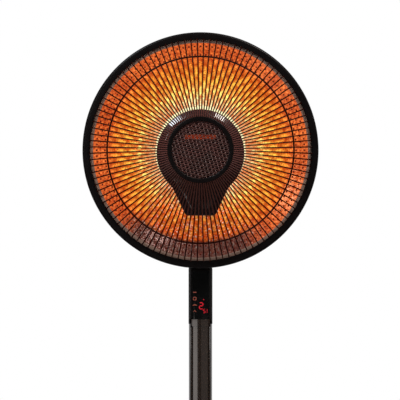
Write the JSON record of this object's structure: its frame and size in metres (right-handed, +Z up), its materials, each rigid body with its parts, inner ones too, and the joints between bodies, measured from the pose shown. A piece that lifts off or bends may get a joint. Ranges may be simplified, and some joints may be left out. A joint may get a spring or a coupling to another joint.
{
  "type": "parabolic heater",
  "caption": "Free-standing radiant heater: a dish head behind a radial wire guard, tilting on a slim column with a display, which swings over a round weighted base.",
  "frame": {"origin": "on the floor under the middle of the round base", "axes": "+Z up, -Y the way the heater faces, +X to the right of someone who looks at its front"},
  "size_m": [0.3986, 0.32, 0.95],
  "materials": {
    "black_plastic": "satin black moulding",
    "window_gloss": "polished black",
    "pole_metal": "glossy dark grey lacquer",
    "guard_enamel": "dark heatproof enamel",
    "shield_enamel": "dark brown heatproof enamel",
    "dish_mirror": "hammered and polished, lit orange by the lamp",
    "quartz": "clear",
    "filament": "glowing",
    "ceramic": "unglazed",
    "steel": "zinc plated",
    "cast_iron": "rough",
    "rubber": "matt",
    "nylon": "natural",
    "board": "solder mask",
    "digits": "lit red"
  },
  "bodies": {
    "base": {"base_cover": "black_plastic", "base_plate": "steel", "ballast_ring": "cast_iron", "foot_pad_1": "rubber", "foot_pad_2": "rubber", "foot_pad_3": "rubber", "foot_pad_4": "rubber", "base_screw_1": "steel", "base_screw_2": "steel", "base_screw_3": "steel", "base_screw_4": "steel", "cord_gland": "rubber", "pivot_post": "steel", "thrust_washer": "nylon", "swing_motor": "steel", "tip_switch": "nylon"},
    "pinion": {"swing_pinion": "nylon"},
    "plunger": {"tip_plunger": "black_plastic"},
    "column": {"column_foot": "black_plastic", "sector_gear": "nylon", "retaining_nut": "steel", "lower_pole": "pole_metal", "pole_joiner": "steel", "upper_pole": "pole_metal", "housing_joiner": "steel", "housing_front": "black_plastic", "housing_rear": "black_plastic", "display_window": "window_gloss", "control_board": "board", "digit_display": "digits", "signal_receiver": "window_gloss", "rocker_frame": "black_plastic", "housing_screw_1": "steel", "housing_screw_2": "steel", "tilt_clevis": "steel", "tilt_bolt": "steel", "tilt_nut": "steel"},
    "rocker": {"power_rocker": "black_plastic"},
    "head": {"front_ring": "black_plastic", "wire_guard": "guard_enamel", "hub_mesh": "guard_enamel", "reflector": "dish_mirror", "rear_shell": "black_plastic", "rear_handle": "black_plastic", "lamp_tube": "quartz", "lamp_filament": "filament", "lamp_cap_left": "ceramic", "lamp_cap_right": "ceramic", "lamp_bracket": "steel", "lamp_clip": "steel", "lamp_shield": "shield_enamel", "shield_post_1": "steel", "shield_post_2": "steel", "shield_post_3": "steel", "thermal_cutoff": "steel", "terminal_block": "ceramic"}
  },
  "joints": [
    {"name": "swing", "type": "hinge", "parent": "base", "child": "column", "pos_m": [0, 0, 0.05], "axis": [0, 0, 1], "range_deg": [-35, 35]},
    {"name": "pinion_spin", "type": "hinge", "parent": "base", "child": "pinion", "pos_m": [0, 0.054, 0.03], "axis": [0, 0, 1], "range_deg": [-106, 106]},
    {"name": "tilt", "type": "hinge", "parent": "column", "child": "head", "pos_m": [0, 0.01, 0.572], "axis": [-1, 0, 0], "range_deg": [0, 20]},
    {"name": "power_switch", "type": "hinge", "parent": "column", "child": "rocker", "pos_m": [0, 0.02, 0.49], "axis": [-1, 0, 0], "range_deg": [0, 16]},
    {"name": "tip_plunge", "type": "slide", "parent": "base", "child": "plunger", "axis": [0, 0, -1], "range_m": [0, 0.006], "stiffness_N_per_m": 60, "springref_m": 0.012}
  ],
  "couplings": [
    {"joint": "pinion_spin", "follows": "swing", "ratio": -3}
  ]
}
